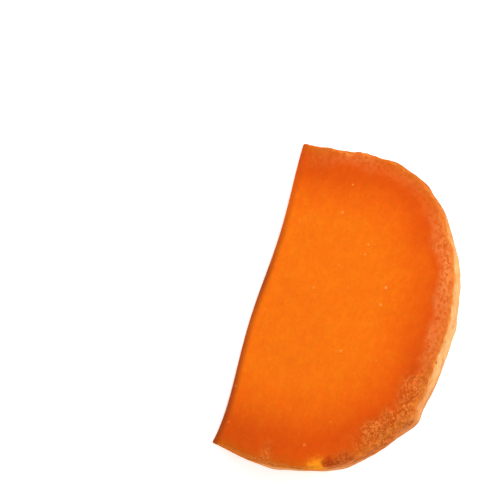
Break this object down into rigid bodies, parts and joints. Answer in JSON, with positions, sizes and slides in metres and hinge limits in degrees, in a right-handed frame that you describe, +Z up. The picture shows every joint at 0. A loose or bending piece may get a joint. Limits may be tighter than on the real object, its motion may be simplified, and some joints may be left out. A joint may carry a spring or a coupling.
{
  "type": "mimolette cheese wedge",
  "caption": "Wedge of hard orange cheese cut from a flattened ball, with smooth sloping and flat cut faces, a thin front edge and a domed, rough, dry rind.",
  "frame": {"origin": "middle of the footprint's bounding box, on the lower cut face that the wedge lies on", "axes": "+X along the axis of the ball that the wedge was cut from and along the thin front edge, +Y from the thin edge towards the rind, +Z up from the lower cut face"},
  "size_m": [0.1618, 0.0986, 0.0591],
  "materials": {
    "paste": "satin"
  },
  "bodies": {
    "root": {"mimolette": "paste"}
  },
  "joints": []
}
